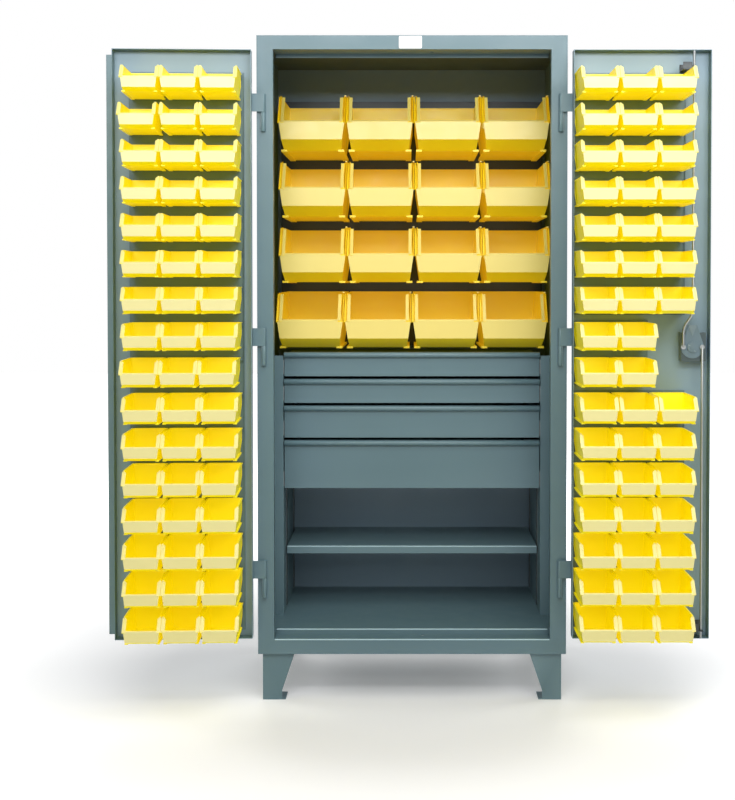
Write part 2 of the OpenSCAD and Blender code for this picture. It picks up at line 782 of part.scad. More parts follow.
module rod_guides() {
    color(dark_steel) on_right_door() {
        rod_guide(latch_u, small_row_z(1) + small_h + panel_margin + 2);
        rod_guide(lower_rod_u, small_row_z(door_rows));
    }
}

// ---- Drawers ----

// A ring of the pull's roll, and the sheet that runs on from it, as an outline of y and z
module drawer_front(top, bottom) {
    r = pull_h / 2;
    nose = drawer_face_y - pull_out + r;
    back = drawer_face_y + pull_out;
    difference() {
        translate([nose, top - r]) circle(r = r, $fn = round_fn);
        translate([nose, top - r]) circle(r = r - drawer_sheet, $fn = round_fn);
        translate([nose, top - pull_h - cut]) square([pull_h, pull_h + 2 * cut]);
    }
    polygon([[nose, top - drawer_sheet], [back - drawer_sheet, top - drawer_sheet],
        [back - drawer_sheet, top - r], [back, top - r], [back, top], [nose, top]]);
    polygon([[nose, top - pull_h], [drawer_face_y, top - pull_h], [drawer_face_y, bottom],
        [box_y, bottom], [box_y, top - pull_h + drawer_sheet], [nose, top - pull_h + drawer_sheet]]);
}

module drawer(i) {
    top = drawer_top(i);
    bottom = top - drawer_h[i];
    color(paint) from_front() union() {
        along_x(-drawer_w / 2, drawer_w / 2) drawer_front(top, bottom);
        difference() {
            block([-box_x, box_y, bottom + box_low], [box_x, box_y + slide_l, top - box_top]);
            block([drawer_sheet - box_x, box_y - cut, bottom + box_low + drawer_sheet],
                [box_x - drawer_sheet, box_y + slide_l - drawer_sheet, top]);
        }
    }
}

// The slide members, as outlines of the distance from the housing and the height
module outer_outline() {
    h = slide_h / 2;
    t = slide_sheet;
    difference() {
        translate([0, -h]) square([slide_reach, 2 * h]);
        translate([t, t - h]) square([slide_room, 2 * (h - t)]);
    }
}
module mid_outline() {
    h = slide_h / 2 - slide_sheet - slide_gap;
    t = slide_sheet;
    low = t + slide_gap;
    high = slide_room - t - 2 * slide_gap;
    middle = (low + high) / 2;
    difference() {
        translate([low, -h]) square([high - low, 2 * h]);
        translate([low - cut, t - h]) square([middle - t / 2 - low + cut, 2 * (h - t)]);
        translate([middle + t / 2, t - h]) square([high, 2 * (h - t)]);
    }
}
module inner_outline() {
    h = slide_h / 2 - 2 * (slide_sheet + slide_gap);
    t = slide_sheet;
    difference() {
        translate([slide_reach, -h]) square([slide_room - slide_reach, 2 * h]);
        translate([slide_reach - cut, t - h])
            square([slide_room - slide_reach - t + cut, 2 * (h - t)]);
    }
}

// A pair of slide members for drawer i
module slide_pair(i) {
    color(zinc) from_front() both_sides() translate([housing_x, 0, slide_z(i)])
        mirror([1, 0, 0]) along_y(box_y, box_y + slide_l) children();
}
module slide_outer_members() { for (i = [0:3]) slide_pair(i) outer_outline(); }
module slide_mid(i) { slide_pair(i) mid_outline(); }
module slide_inner(i) { slide_pair(i) inner_outline(); }

// ---- Housing and shelf ----

module housing_sides() {
    color(paint) from_front() both_sides() translate([0, 0, floor_z]) linear_extrude(housing_top - floor_z)
        polygon([[housing_x, drawer_face_y], [inner_x, drawer_face_y],
            [inner_x, drawer_face_y + housing_sheet],
            [housing_x + housing_sheet, drawer_face_y + housing_sheet],
            [housing_x + housing_sheet, back_y], [housing_x, back_y]]);
}

module housing_deck() {
    color(paint) from_front() block([-housing_x, box_y + housing_sheet, housing_top - housing_sheet],
        [housing_x, back_y, housing_top]);
}

module shelf() {
    half = housing_x - shelf_gap;
    color(paint) from_front() difference() {
        block([-half, shelf_front_y, shelf_z - shelf_h], [half, back_y - run_gap, shelf_z]);
        block([shelf_sheet - half, shelf_front_y + shelf_sheet, shelf_z - shelf_h - cut],
            [half - shelf_sheet, back_y - run_gap - shelf_sheet, shelf_z - shelf_sheet]);
    }
}

standard_end = 10;             // room above and below the standards
standard_ys = [shelf_front_y + standard_w, back_y - 2 * standard_w];
standard_low = floor_z + standard_end;
standard_high = drawer_top(3) - drawer_h[3] - standard_end;
slot_first_z = shelf_z - shelf_h + clip_t;
slots_down = floor((slot_first_z - standard_low - slot_pitch / 4) / slot_pitch);
slots_up = floor((standard_high - slot_first_z - slot_pitch / 4) / slot_pitch);

module shelf_standards() {
    color(zinc) from_front() both_sides() for (y = standard_ys) difference() {
        block([housing_x - clip_t, y, standard_low], [housing_x, y + standard_w, standard_high]);
        for (k = [-slots_down:slots_up])
            block([housing_x - clip_t - cut, y + standard_w / 4, slot_first_z + k * slot_pitch],
                [housing_x + cut, y + standard_w * 3 / 4, slot_first_z + k * slot_pitch + 1.5 * clip_t]);
    }
}

module shelf_clips() {
    face = housing_x - clip_t;
    low = shelf_z - shelf_h - clip_t;
    color(zinc) from_front() both_sides() for (y = standard_ys)
        along_y(y + standard_w / 4 + run_gap, y + standard_w * 3 / 4 - run_gap)
            polygon([[face - clip_l, low], [face, low], [face, slot_first_z], [housing_x, slot_first_z],
                [housing_x, slot_first_z + clip_t], [face, slot_first_z + clip_t],
                [face - clip_t, slot_first_z + clip_t], [face - clip_t, low + clip_t],
                [face - clip_l, low + clip_t]]);
}

front_frame();
side_panel_left();
side_panel_right();
top_panel();
back_panel();
floor_pan();
leg_front_left();
leg_front_right();
leg_back_left();
leg_back_right();
louvre_panel_back();
back_bins_row(1);  // back_bins_row_1
back_bins_row(2);  // back_bins_row_2
back_bins_row(3);  // back_bins_row_3
back_bins_row(4);  // back_bins_row_4
housing_sides();
housing_deck();
shelf();
shelf_standards();
shelf_clips();
slide_outer_members();
hinge_barrels();
hinge_pins();
left_door_pan();
left_astragal();
left_louvre_panel();
left_hinge_leaves();
left_bins(1);  // left_bins_1
left_bins(2);  // left_bins_2
left_bins(3);  // left_bins_3
left_bins(4);  // left_bins_4
right_door_pan();
right_louvre_upper();
right_louvre_middle();
right_louvre_lower();
right_hinge_leaves();
right_bins_upper();
right_bins_middle();
right_bins_lower();
latch_bracket();
rod_guides();
handle_escutcheon();
handle_grip();
latch_spindle();
latch_cam();
upper_rod();
lower_rod();
drawer(0);  // drawer_1
drawer(1);  // drawer_2
drawer(2);  // drawer_3
drawer(3);  // drawer_4
slide_inner(0);  // slide_inner_1
slide_inner(1);  // slide_inner_2
slide_inner(2);  // slide_inner_3
slide_inner(3);  // slide_inner_4
slide_mid(0);  // slide_mid_1
slide_mid(1);  // slide_mid_2
slide_mid(2);  // slide_mid_3
slide_mid(3);  // slide_mid_4
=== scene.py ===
"""Looks of the parts bin cabinet: finishes for the steel and the bins, and the bins in full detail."""
import json
import math

import bmesh
import bpy
from mathutils import Matrix, Vector

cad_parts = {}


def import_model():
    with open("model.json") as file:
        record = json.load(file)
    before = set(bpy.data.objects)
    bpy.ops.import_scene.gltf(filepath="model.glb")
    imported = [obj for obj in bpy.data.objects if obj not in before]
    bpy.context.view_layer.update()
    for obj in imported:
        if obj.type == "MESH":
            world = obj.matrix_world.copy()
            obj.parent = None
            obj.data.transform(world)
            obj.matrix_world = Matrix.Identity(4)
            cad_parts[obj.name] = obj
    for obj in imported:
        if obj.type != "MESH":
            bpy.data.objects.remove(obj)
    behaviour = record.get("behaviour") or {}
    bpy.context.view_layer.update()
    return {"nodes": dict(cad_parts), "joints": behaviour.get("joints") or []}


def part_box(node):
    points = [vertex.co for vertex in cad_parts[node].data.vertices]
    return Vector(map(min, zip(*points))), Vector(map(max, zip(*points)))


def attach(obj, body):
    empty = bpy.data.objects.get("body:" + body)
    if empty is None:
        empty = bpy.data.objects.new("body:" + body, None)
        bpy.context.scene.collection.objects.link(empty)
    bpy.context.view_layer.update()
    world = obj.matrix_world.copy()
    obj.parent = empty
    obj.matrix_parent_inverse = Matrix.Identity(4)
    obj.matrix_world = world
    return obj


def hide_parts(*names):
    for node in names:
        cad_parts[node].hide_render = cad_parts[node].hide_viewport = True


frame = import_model()

MM = 0.001

# The photograph's frame, and the camera that took it
PHOTO_W, PHOTO_H = 735, 800
CAMERA_AT = (-0.010, -4.1436, 1.2347)
CAMERA_DOWN = 0.0244                  # radians below the horizon
FOCAL_PX = 1301.5
MIDDLE_PX = (408.7, 317.0)            # where the lens's axis meets the photograph
SENSOR = 36.0                         # millimetres, along the longer side


# ---- Nodes and sockets ----

class Nodes:
    """Short calls for the nodes and links of one node tree."""

    def __init__(self, tree):
        self.tree = tree

    def node(self, kind, **settings):
        made = self.tree.nodes.new(kind)
        for key, value in settings.items():
            setattr(made, key, value)
        return made

    def link(self, source, target):
        self.tree.links.new(source, target)

    def spread(self, value, low, high, from_low=0.3, from_high=0.7):
        """value, stretched from one range to another."""
        made = self.node("ShaderNodeMapRange")
        made.inputs["From Min"].default_value = from_low
        made.inputs["From Max"].default_value = from_high
        made.inputs["To Min"].default_value = low
        made.inputs["To Max"].default_value = high
        self.link(value, made.inputs["Value"])
        return made.outputs["Result"]

    def calculate(self, operation, first, second):
        """One value from two."""
        made = self.node("ShaderNodeMath", operation=operation)
        self.link(first, made.inputs[0])
        self.link(second, made.inputs[1])
        return made.outputs[0]

    def seen(self):
        """1 for rays of the camera and for mirrored or refracted ones, 0 for rays that only carry light."""
        paths = self.node("ShaderNodeLightPath")
        direct = self.calculate("MAXIMUM", paths.outputs["Is Camera Ray"], paths.outputs["Is Glossy Ray"])
        return self.calculate("MAXIMUM", direct, paths.outputs["Is Transmission Ray"])


class Look(Nodes):
    """A material under construction."""

    def __init__(self, name):
        self.material = bpy.data.materials.new(name)
        self.material.use_nodes = True
        super().__init__(self.material.node_tree)
        self.shader = self.tree.nodes["Principled BSDF"]

    def place(self):
        """Coordinates in metres, fixed to the object."""
        return self.node("ShaderNodeTexCoord").outputs["Object"]

    def attribute(self, name):
        return self.node("ShaderNodeAttribute", attribute_name=name).outputs["Fac"]

    def faces_minus(self, axis):
        """1 on faces that look along an axis's negative direction at rest, 0 on the others."""
        split = self.node("ShaderNodeSeparateXYZ")
        self.link(self.node("ShaderNodeTexCoord").outputs["Normal"], split.inputs[0])
        return self.spread(split.outputs[axis], 1.0, 0.0, from_low=-0.9, from_high=-0.6)

    def noise(self, scale, detail=2.0, roughness=0.5, stretch=None):
        made = self.node("ShaderNodeTexNoise")
        made.inputs["Scale"].default_value = scale
        made.inputs["Detail"].default_value = detail
        made.inputs["Roughness"].default_value = roughness
        where = self.place()
        if stretch:
            mapping = self.node("ShaderNodeMapping")
            mapping.inputs["Scale"].default_value = stretch
            self.link(where, mapping.inputs["Vector"])
            where = mapping.outputs["Vector"]
        self.link(where, made.inputs["Vector"])
        return made.outputs["Fac"]

    def blend(self, factor, first, second):
        """A colour between two colours; a colour is a tuple or a socket."""
        made = self.node("ShaderNodeMix", data_type="RGBA")
        self.link(factor, made.inputs["Factor"])
        for value, socket in ((first, made.inputs["A"]), (second, made.inputs["B"])):
            if isinstance(value, tuple):
                socket.default_value = (*value, 1.0)
            else:
                self.link(value, socket)
        return made.outputs["Result"]

    def bump(self, height, distance, strength, under=None):
        """A normal with a relief, which may lie over another relief."""
        made = self.node("ShaderNodeBump")
        made.inputs["Strength"].default_value = strength
        made.inputs["Distance"].default_value = distance
        self.link(height, made.inputs["Height"])
        if under is not None:
            self.link(under, made.inputs["Normal"])
        return made.outputs["Normal"]

    def set(self, **values):
        """Constants and sockets for the shader; an underscore stands for a space."""
        for key, value in values.items():
            socket = self.shader.inputs[key.replace("_", " ")]
            if isinstance(value, bpy.types.NodeSocket):
                self.link(value, socket)
            elif isinstance(value, tuple):
                socket.default_value = (*value, 1.0)
            else:
                socket.default_value = value


def srgb(red, green, blue):
    """A colour as it is seen on screen, from 0 to 255, as the linear one that nodes hold."""
    def linear(value):
        value /= 255
        return value / 12.92 if value <= 0.04045 else ((value + 0.055) / 1.055) ** 2.4
    return (linear(red), linear(green), linear(blue))


# ---- Materials ----

def painted_steel(name, colour, darker, lighter, inner=None, axis="Y"):
    """Baked enamel on sheet steel: fine orange peel, slow drifts of tone, and lighter edges, partly wear and
    partly a painted highlight.
    Where an inner colour is given, faces that look along the axis's negative direction have it: painted
    light or painted shade on that side of the part."""
    look = Look(name)
    drift = look.spread(look.noise(2.2, detail=3.0), 0.0, 1.0)
    tone = look.blend(drift, darker, colour)
    if inner:
        tone = look.blend(look.faces_minus(axis), tone, inner)
    # Sharp edges take the lighter colour: partly wear, partly a painted highlight.
    edges = look.node("ShaderNodeNewGeometry").outputs["Pointiness"]
    wear_and_highlight = look.spread(edges, 0.0, 0.5, from_low=0.53, from_high=0.62)
    tone = look.blend(wear_and_highlight, tone, lighter)
    smudges = look.spread(look.noise(9.0, detail=4.0, roughness=0.6), 0.36, 0.46)
    sag = look.bump(look.noise(14.0), distance=0.6 * MM, strength=0.25)
    peel = look.bump(look.noise(900.0), distance=0.06 * MM, strength=0.5, under=sag)
    look.set(Base_Color=tone, Roughness=smudges, Normal=peel, Specular_IOR_Level=0.5)
    return look.material


def moulded_plastic(name, colour, deeper, painted_highlight, glow, strength):
    """Moulded polymer with a faint grain: each bin has its own tone, and faces that look to the front are
    paler, a painted highlight.
    The glow is painted light that lifts the shaded insides and undersides, standing in for light that passes
    through the thin walls."""
    look = Look(name)
    drift = look.spread(look.noise(11.0), 0.0, 0.6)
    batch = look.spread(look.attribute("tone"), 0.0, 0.4, from_low=0.0, from_high=1.0)
    tone = look.blend(look.calculate("ADD", drift, batch), deeper, colour)
    # Faces that look to the front take the paler colour: a painted highlight.
    tone = look.blend(look.attribute("front"), tone, painted_highlight)
    gloss = look.spread(look.noise(30.0, detail=3.0), 0.34, 0.46)
    flow = look.bump(look.noise(26.0, stretch=(1.0, 1.0, 0.25)), distance=0.6 * MM, strength=0.2)
    grain = look.bump(look.noise(1500.0, detail=1.0), distance=0.04 * MM, strength=0.4, under=flow)
    # The emission is painted light in the bins' shaded parts.
    look.set(Base_Color=tone, Roughness=gloss, Normal=grain, Specular_IOR_Level=0.8,
             Emission_Color=glow, Emission_Strength=strength)
    return look.material


def plated_steel(name, colour, roughness):
    """Zinc plated steel: blotchy plating and fine drawn lines."""
    look = Look(name)
    bloom = look.spread(look.noise(60.0, detail=4.0, roughness=0.65), 0.0, 1.0)
    dull = tuple(0.86 * value for value in colour)
    rough = look.spread(look.noise(90.0, detail=3.0), roughness - 0.07, roughness + 0.07)
    lines = look.noise(240.0, stretch=(1.0, 1.0, 0.05))
    look.set(Base_Color=look.blend(bloom, dull, colour), Metallic=1.0, Roughness=rough,
             Normal=look.bump(lines, distance=0.08 * MM, strength=0.4))
    return look.material


def dark_steel(name):
    """Black oxide steel with rubbed patches."""
    look = Look(name)
    rubbed = look.spread(look.noise(70.0, detail=4.0, roughness=0.6), 0.0, 1.0)
    rough = look.spread(look.noise(120.0), 0.38, 0.55)
    look.set(Base_Color=look.blend(rubbed, srgb(50, 54, 56), srgb(74, 78, 80)), Metallic=0.6,
             Roughness=rough, Normal=look.bump(look.noise(500.0), distance=0.08 * MM, strength=0.5))
    return look.material


def plate_enamel(name):
    """White enamel on thin metal."""
    look = Look(name)
    drift = look.spread(look.noise(60.0, detail=3.0), 0.0, 1.0)
    look.set(Base_Color=look.blend(drift, srgb(244, 241, 240), srgb(250, 248, 247)),
             Roughness=look.spread(look.noise(140.0), 0.3, 0.42),
             Normal=look.bump(look.noise(700.0), distance=0.05 * MM, strength=0.4))
    return look.material


# Each paint's colour, its darker drift and its lighter edges, partly wear and partly painted highlight; then
# the inner colour where there is one, which is painted light or painted shade
BLUE_GREY = (srgb(94, 121, 130), srgb(88, 115, 123), srgb(128, 155, 163))
PAINT = painted_steel("blue_grey_enamel", *BLUE_GREY)
# The lighter inside of the doors and the back panel is painted light.
LIT_INSIDE_PAINT = painted_steel("enamel_with_painted_light_inside", *BLUE_GREY, inner=srgb(131, 156, 173))
# The darker underside of the top panel is painted shade.
SHADED_UNDERSIDE_PAINT = painted_steel("enamel_with_painted_shade_under", *BLUE_GREY, inner=srgb(48, 60, 66), axis="Z")
# The dark colour of the back louvre panel is painted shade.
SHADE_DARK_PAINT = painted_steel("painted_shade_enamel", srgb(48, 60, 66), srgb(43, 54, 60), srgb(74, 88, 95))
# The bright colour of the folds is a painted highlight.
FOLD_HIGHLIGHT_PAINT = painted_steel("highlight_strip_enamel", srgb(172, 202, 210), srgb(160, 189, 197), srgb(186, 212, 218))
CAST = painted_steel("latch_enamel", srgb(108, 130, 142), srgb(92, 112, 122), srgb(178, 194, 200))
BRACKET_PAINT = painted_steel("bracket_enamel", srgb(66, 82, 86), srgb(54, 69, 72), srgb(150, 168, 172))
# The paler colour given for the front faces is a painted highlight.
SMALL_YELLOW = moulded_plastic("yellow_polymer", colour=srgb(252, 240, 5), deeper=srgb(252, 232, 2),
                               painted_highlight=srgb(216, 206, 150), glow=(1.0, 0.88, 0.0), strength=0.15)
LARGE_YELLOW = moulded_plastic("deep_yellow_polymer", colour=srgb(248, 224, 16), deeper=srgb(244, 212, 8),
                               painted_highlight=srgb(222, 203, 112), glow=(1.0, 0.74, 0.02), strength=0.1)
ZINC = plated_steel("zinc_plate", srgb(150, 154, 154), 0.42)
DULL_ZINC = plated_steel("dull_zinc", srgb(92, 98, 100), 0.55)
DARK = dark_steel("black_oxide")
PLATE_WHITE = plate_enamel("plate_enamel")


# ---- Shapes ----

def loft(rings, start=0):
    """A closed shape over rings that have the same number of points each, with both ends filled.
    start is the corner that each side face begins with: how faces are cut up depends on it."""
    made = bmesh.new()
    rings = [[made.verts.new(point) for point in ring] for ring in rings]
    made.faces.new(rings[0])
    made.faces.new(list(reversed(rings[-1])))
    for first, second in zip(rings, rings[1:]):
        for i in range(len(first)):
            j = (i + 1) % len(first)
            corners = (first[j], first[i], second[i], second[j])
            made.faces.new(corners[start:] + corners[:start])
    bmesh.ops.recalc_face_normals(made, faces=made.faces)
    return made


def prism(outline, widths):
    """A closed shape from an outline of (y, z), with the half width of each of its points."""
    return loft([[(way * w, y, z) for (y, z), w in zip(outline, widths)] for way in (-1, 1)])


def box_between(low, high):
    outline = [(low[1], low[2]), (high[1], low[2]), (high[1], high[2]), (low[1], high[2])]
    made = prism(outline, [(high[0] - low[0]) / 2] * 4)
    bmesh.ops.translate(made, vec=((low[0] + high[0]) / 2, 0, 0), verts=made.verts)
    return made


def as_object(name, made):
    mesh = bpy.data.meshes.new(name)
    made.to_mesh(mesh)
    made.free()
    thing = bpy.data.objects.new(name, mesh)
    bpy.context.scene.collection.objects.link(thing)
    return thing


def apply_modifiers(thing):
    shown = thing.evaluated_get(bpy.context.evaluated_depsgraph_get())
    mesh = bpy.data.meshes.new_from_object(shown)
    thing.modifiers.clear()
    thing.data = mesh


def combine(thing, made, operation):
    """thing, with a shape added to it or taken from it."""
    other = as_object("other", made)
    step = thing.modifiers.new("combine", "BOOLEAN")
    step.operation = operation
    step.solver = "EXACT"
    step.object = other
    apply_modifiers(thing)
    bpy.data.objects.remove(other)


def soften(thing, width, angle):
    """Rounded edges, where two faces meet at more than an angle in degrees."""
    bevel = thing.modifiers.new("edges", "BEVEL")
    bevel.width = width
    bevel.segments = 2
    bevel.limit_method = "ANGLE"
    bevel.angle_limit = math.radians(angle)
    return bevel


# ---- Bins ----

# Each bin's front lip stands at y = 0, its rails on z = 0, and its middle at x = 0
SMALL_BIN = {
    "w": 104.8 * MM,
    "h": 76.2 * MM,
    "l": 187.3 * MM,
    "lip": 40 * MM,                   # height of the front lip
    "slant_h": 10.5 * MM,             # height of the slanted foot at the front
    "slant_d": 20 * MM,               # how far back the slanted foot reaches the base
    "lean": 25 * MM,                  # how far the front posts lean back, from the lip up
    "band": 10.6 * MM,                # width of the flanges along the posts
    "proud": 1.4 * MM,                # how far these flanges stand out past the bin's width
    "taper": 8 * MM,                  # how far each side lies in from the bin's width at the base
    "inset": 2.4 * MM,                # the same from the lip up
    "wall": 2 * MM,
    "foot": 1.6 * MM,                 # how high the base stands over the rails' underside
    # The flange's top: share of the band from its outer edge, and how far it lies below the post's end
    "crown": [(0.0, 1.5 * MM), (0.15, 0.2 * MM), (0.35, -0.4 * MM), (0.55, 0.2 * MM), (0.75, 1.6 * MM),
              (1.0, 4.5 * MM)],
}
LARGE_BIN = {
    "w": 209.6 * MM,
    "h": 177.8 * MM,
    "l": 374.7 * MM,
    "lip": 88 * MM,
    "slant_h": 33 * MM,
    "slant_d": 59 * MM,
    "lean": 60 * MM,
    "band": 19 * MM,
    "proud": 0.7 * MM,
    "taper": 15.5 * MM,
    "inset": 2.4 * MM,
    "wall": 3 * MM,
    "foot": 3 * MM,
    "crown": [(0.0, 0.0), (0.499, 0.0), (0.5, 5.5 * MM), (1.0, 5.5 * MM)],
}
HOOK = 5.8 * MM                       # from the back wall to the hook's far side
HOOK_WALL = 2.5 * MM
HOOK_DROP = 5.0 * MM                  # how far the hook reaches down below its own wall
HOOK_SHARE = 0.84                     # of the bin's width
OPEN_ABOVE = 5 * MM                   # how far the hollow is cut past the top

# A bin's smaller forms, as shares of its wall where nothing else is said
FLANGE_THICK = 1.6
FLANGE_RAISED = 0.6                   # how far the flange's outer part stands out from the rest
FLANGE_OUTER = 0.5                    # that part's width, as a share of the band
RAIL_INNER, RAIL_OUTER = 1.6, 0.4     # how far a rail's sides lie in from the bin's width: of the taper
RAIL_START = 0.9                      # of the slanted foot's depth
RAIL_TOP = 1.2                        # over the base's underside
SIDE_RIM_H = 1.1
LIP_RIM_D, LIP_RIM_H = 1.6, 1.2
REAR_RIM_D, REAR_RIM_H = 2.2, 1.3
BIN_EDGE = 0.28
BIN_EDGE_ANGLE = 25                   # degrees

# How the bins hang
LARGE_PITCH = 212 * MM
SMALL_PITCH_X = 108.6 * MM
SMALL_PITCH_Z = 103.2 * MM
LEFT_AJAR = math.radians(2.5)
DOOR_EDGE = 32 * MM                   # from the hinge axis to the door's hinge edge
DOOR_SKIN = 6.75 * MM                 # from the hinge axis to the door's outer skin
BIN_REAR = 8.3 * MM                   # from the skin to the rear of a small bin's hook
FIRST_BIN = 29 * MM                   # from the door's hinge edge to the first small bin
# How far a few bins hang out of line, in millimetres: door set and row up from its bottom, then each bin
ASIDE = {("lower", 6): (0, 3, 5), (1, 2): (0, 0, 7.5), (3, 3): (5, 5, 5)}
IN_LINE = (0, 0, 0)
# Faces that look to the front are paler, a painted highlight, up to this depth behind the lip and above this
# height
SMALL_HIGHLIGHT_REACH = (35 * MM, 9 * MM)
LARGE_HIGHLIGHT_REACH = (75 * MM, 25 * MM)
# How far a bin's tone moves on from bin to bin, and with each letter of the object's name
TONE_STEP, TONE_LETTER = 0.618, 0.377


def leaning_plate(points, lip, lean, post, front, thickness):
    """A plate along a post's leaning edge, from an outline of x and of the distance up that edge."""
    length = math.hypot(lean, post - lip)
    up = Vector((0, lean / length, (post - lip) / length))
    out = Vector((0, -up.z, up.y))
    return loft([[Vector((x, 0, lip)) + up * s + out * shift for x, s in points]
                 for shift in (front, front - thickness)], start=1)


def bin_shape(name, w, h, l, lip, slant_h, slant_d, lean, band, proud, taper, inset, wall, foot, crown):
    """One hopper bin as a mesh: a shell with flanges, rails, rims and a hook."""
    rear = l - HOOK
    post = h - wall
    half = w / 2
    side = half - inset
    run = math.hypot(lean, post - lip)

    def half_width(z, less=0.0):
        return side - less - ((taper - inset) * (1 - z / lip) if z < lip else 0.0)

    outline = [(slant_d, foot), (rear, foot), (rear, lip), (rear, h), (lean, post), (0, lip), (0, slant_h)]
    shell = as_object(name, prism(outline, [half_width(z) for y, z in outline]))
    top = h + OPEN_ABOVE
    inside = [(slant_d + wall / 2, foot + wall), (rear - wall, foot + wall), (rear - wall, lip),
              (rear - wall, top), (wall, top), (wall, lip), (wall, slant_h + wall / 2)]
    combine(shell, prism(inside, [half_width(z, wall) for y, z in inside]), "DIFFERENCE")
    extras = []
    for way in (-1, 1):
        # The flange along the leaning edge, and its thicker outer part
        outer = half + proud
        for reach, raised in ((band, 0.0), (FLANGE_OUTER * band, FLANGE_RAISED * wall)):
            points = [(outer - reach, -wall), (outer, -wall)]
            points += [(outer - share * band, run - drop) for share, drop in crown if share * band < reach]
            points.append((outer - reach, run - max(drop for share, drop in crown if share * band <= reach)))
            extras.append(leaning_plate([(way * x, s) for x, s in points], lip, lean, post,
                                        raised, FLANGE_THICK * wall + raised))
        # The flat rail under each side, from the slanted foot to the back
        x0, x1 = sorted((way * (half - RAIL_INNER * taper), way * (half - RAIL_OUTER * taper)))
        extras.append(box_between((x0, slant_d * RAIL_START, 0), (x1, rear, foot + RAIL_TOP * wall)))
        # The flat rim along the top of each side wall
        x0, x1 = sorted((way * (side - wall), way * half))
        extras.append(box_between((x0, lean + wall, h - SIDE_RIM_H * wall), (x1, rear, h)))
    # The rims inside the front lip and the back wall
    extras.append(box_between((wall - side, wall / 2, lip - LIP_RIM_H * wall),
                              (side - wall, LIP_RIM_D * wall, lip)))
    extras.append(box_between((wall - side, rear - REAR_RIM_D * wall, h - REAR_RIM_H * wall),
                              (side - wall, rear, h)))
    # The hook that hangs the bin on its louvre
    outline = [(rear - wall, h), (l, h), (l, h - HOOK_WALL - HOOK_DROP),
               (l - HOOK_WALL, h - HOOK_WALL - HOOK_DROP), (l - HOOK_WALL, h - HOOK_WALL),
               (rear - wall, h - HOOK_WALL)]
    extras.append(prism(outline, [half * HOOK_SHARE] * len(outline)))
    for extra in extras:
        combine(shell, extra, "UNION")
    # The edges' rounding comes out with almost no width, but it settles how the side faces are cut up
    soften(shell, BIN_EDGE * wall, BIN_EDGE_ANGLE)
    apply_modifiers(shell)
    mesh = shell.data
    bpy.data.objects.remove(shell)
    return mesh


def facing_front(normal):
    """1 for faces within 32 degrees of the front's direction, 0 for those more than 57 degrees from it."""
    return min(max((-normal.y - 0.55) / 0.3, 0.0), 1.0)


def bins_object(name, mesh, places, body, node, material, painted_highlight, turn=0.0):
    """One object for a node's bins: a copy of the mesh at each place, turned about Z, each with its tone."""
    made = bmesh.new()
    tone = made.faces.layers.float.new("tone")
    front = made.faces.layers.float.new("front")
    highlight_depth, highlight_from = painted_highlight
    for index, place in enumerate(places):
        verts, faces = len(made.verts), len(made.faces)
        made.from_mesh(mesh)
        made.verts.ensure_lookup_table()
        made.faces.ensure_lookup_table()
        for face in made.faces[faces:]:
            face[tone] = (index * TONE_STEP + len(name) * TONE_LETTER) % 1.0
            middle = face.calc_center_median()
            # Faces that look to the front get a share of the painted highlight here.
            if middle.y < highlight_depth and middle.z > highlight_from:
                face[front] = facing_front(face.normal)
        bmesh.ops.transform(made, verts=made.verts[verts:],
                            matrix=Matrix.Translation(place) @ Matrix.Rotation(turn, 4, "Z"))
    thing = as_object(name, made)
    for face in thing.data.polygons:
        face.use_smooth = False
    thing.data.materials.append(material)
    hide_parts(node)
    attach(thing, body)


def back_bins():
    mesh = bin_shape("large_bin", **LARGE_BIN)
    for row in range(1, 5):
        node = "back_bins_row_%d" % row
        low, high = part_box(node)
        places = [(low[0] + LARGE_BIN["w"] / 2 + i * LARGE_PITCH, low[1], low[2]) for i in range(4)]
        bins_object("large_bins_%d" % row, mesh, places, "cabinet", node, LARGE_YELLOW, LARGE_HIGHLIGHT_REACH)


def door_bins():
    mesh = bin_shape("small_bin", **SMALL_BIN)
    width, length = SMALL_BIN["w"], SMALL_BIN["l"]
    for part, rows, columns in (("upper", 7, 3), ("middle", 2, 2), ("lower", 7, 3)):
        node = "right_bins_" + part
        low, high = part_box(node)
        places = []
        for k in range(rows):
            for i in range(columns):
                aside = ASIDE.get((part, k), IN_LINE)[i] * MM
                places.append((low[0] + width / 2 + i * SMALL_PITCH_X + aside, low[1],
                               low[2] + k * SMALL_PITCH_Z))
        bins_object("small_bins_right_" + part, mesh, places, "right_door", node, SMALL_YELLOW, SMALL_HIGHLIGHT_REACH)
    axis = next(joint for joint in frame["joints"] if joint["name"] == "left_door_swing")["pos_m"]
    for group in range(1, 5):
        node = "left_bins_%d" % group
        low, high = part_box(node)
        places = []
        for k in range(4):
            for i in range(3):
                aside = ASIDE.get((group, k), IN_LINE)[i] * MM
                out = FIRST_BIN + width / 2 + i * SMALL_PITCH_X + aside
                flat = Vector((-DOOR_EDGE - out, -DOOR_SKIN - BIN_REAR - length, 0))
                flat.rotate(Matrix.Rotation(LEFT_AJAR, 3, "Z"))
                places.append((axis[0] + flat.x, axis[1] + flat.y, low[2] + k * SMALL_PITCH_Z))
        bins_object("small_bins_left_%d" % group, mesh, places, "left_door", node, SMALL_YELLOW,
                    SMALL_HIGHLIGHT_REACH, LEFT_AJAR)


# ---- Steel ----

PAINTED = ["front_frame", "side_panel_left", "side_panel_right", "top_panel", "back_panel", "floor_pan",
           "leg_front_left", "leg_front_right", "leg_back_left", "leg_back_right", "louvre_panel_back",
           "housing_sides", "housing_deck", "shelf", "hinge_barrels", "left_door_pan", "left_astragal",
           "left_louvre_panel", "left_hinge_leaves", "right_door_pan", "right_louvre_upper",
           "right_louvre_middle", "right_louvre_lower", "right_hinge_leaves", "latch_bracket",
           "drawer_1", "drawer_2", "drawer_3", "drawer_4"]
